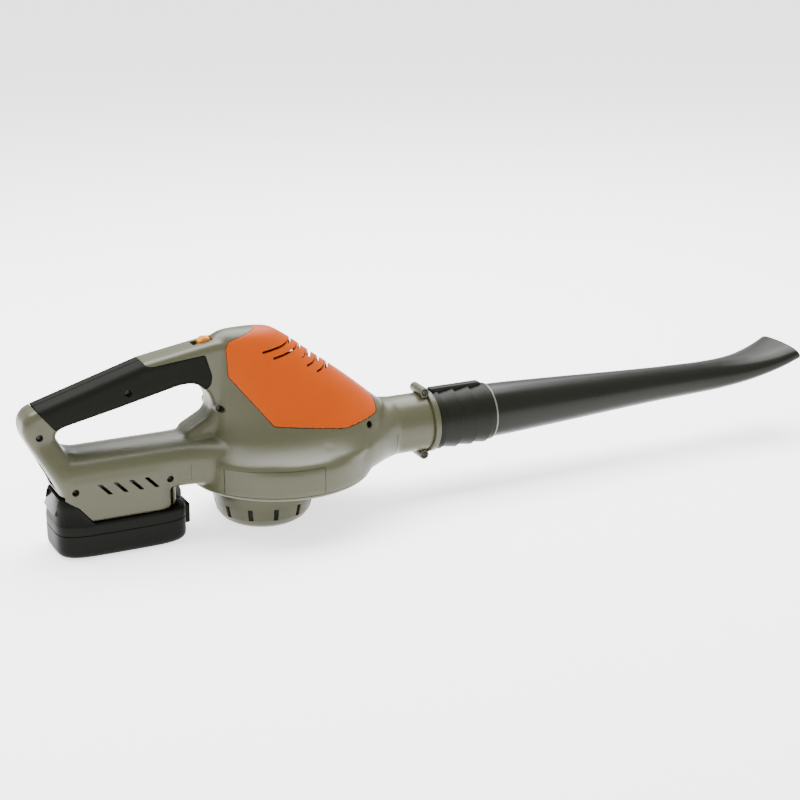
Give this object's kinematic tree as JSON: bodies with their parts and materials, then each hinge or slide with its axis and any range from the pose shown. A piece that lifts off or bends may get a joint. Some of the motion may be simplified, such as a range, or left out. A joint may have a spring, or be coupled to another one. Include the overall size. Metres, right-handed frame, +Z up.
{
  "type": "leaf blower",
  "caption": "Cordless leaf blower: looped handle with soft grip and slide switch, round fan case over an intake basket, slide-on battery, ribbed collar and tapered tube with a flattened mouth.",
  "frame": {"origin": "on the fan's axis, on the flat base of the intake basket, level with the underside of the battery", "axes": "+X along the blower tube towards its mouth, +Z up along the fan's axis, +Y to the side away from the screw heads"},
  "size_m": [0.8873, 0.1892, 0.1996],
  "materials": {
    "housing": "satin moulded, olive grey",
    "cover": "satin moulded, orange",
    "grip": "matt soft overmould",
    "collar": "matt moulded, black",
    "tube": "satin moulded, black",
    "switch": "satin moulded, amber",
    "dock": "gloss moulded, black",
    "battery": "matt moulded, black",
    "switch_case": "matt",
    "board": "green solder mask",
    "terminal": "plated",
    "steel": "bright",
    "magnet": "dull",
    "brush": "carbon",
    "screw": "blackened",
    "lead_black": "sleeve",
    "lead_red": "sleeve",
    "cell": "shrink wrap"
  },
  "bodies": {
    "housing": {"housing_left": "housing", "housing_right": "housing", "intake_grille": "housing", "motor_plate": "housing", "motor_cover": "cover", "grip_left": "grip", "grip_right": "grip", "tube_collar": "collar", "inlet_ring": "collar", "dock_front_clip": "dock", "dock_rail": "dock", "switch_body": "switch_case", "terminal_block": "switch_case", "motor_end_cap": "switch_case", "control_board": "board", "terminal_blade_left": "terminal", "terminal_blade_right": "terminal", "motor_can": "steel", "bearing_lower": "steel", "bearing_upper": "steel", "magnet_ring": "magnet", "brush_front": "brush", "brush_rear": "brush", "screw_handle_rear": "screw", "screw_grip": "screw", "screw_front_strut": "screw", "screw_dock_rear": "screw", "screw_dock_front": "screw", "screw_body_front": "screw", "screw_lug_top": "screw", "screw_lug_low": "screw", "switch_lead": "lead_black", "motor_lead": "lead_black", "power_lead": "lead_red"},
    "rotor": {"motor_shaft": "steel", "rotor_core": "steel", "commutator": "terminal", "impeller": "collar", "impeller_nut": "steel"},
    "switch": {"switch_slider": "switch"},
    "battery": {"battery_case_lower": "battery", "battery_case_upper": "battery", "battery_board": "board", "cell_1": "cell", "cell_2": "cell", "cell_3": "cell", "cell_4": "cell", "cell_5": "cell"},
    "button": {"battery_button": "dock"},
    "tube": {"blower_tube": "tube"}
  },
  "joints": [
    {"name": "rotor_spin", "type": "hinge", "parent": "housing", "child": "rotor", "pos_m": [0, 0, 0.06], "axis": [0, 0, 1], "continuous": true},
    {"name": "switch_slide", "type": "slide", "parent": "housing", "child": "switch", "axis": [-1, 0, 0], "range_m": [0, 0.006]},
    {"name": "battery_slide", "type": "slide", "parent": "housing", "child": "battery", "axis": [-1, 0, 0], "range_m": [0, 0.14]},
    {"name": "button_press", "type": "slide", "parent": "battery", "child": "button", "axis": [0.8915, 0, -0.453], "range_m": [0, 0.0022], "stiffness_N_per_m": 500, "springref_m": -0.003},
    {"name": "tube_slide", "type": "slide", "parent": "housing", "child": "tube", "axis": [1, 0, 0], "range_m": [0, 0.065]}
  ]
}
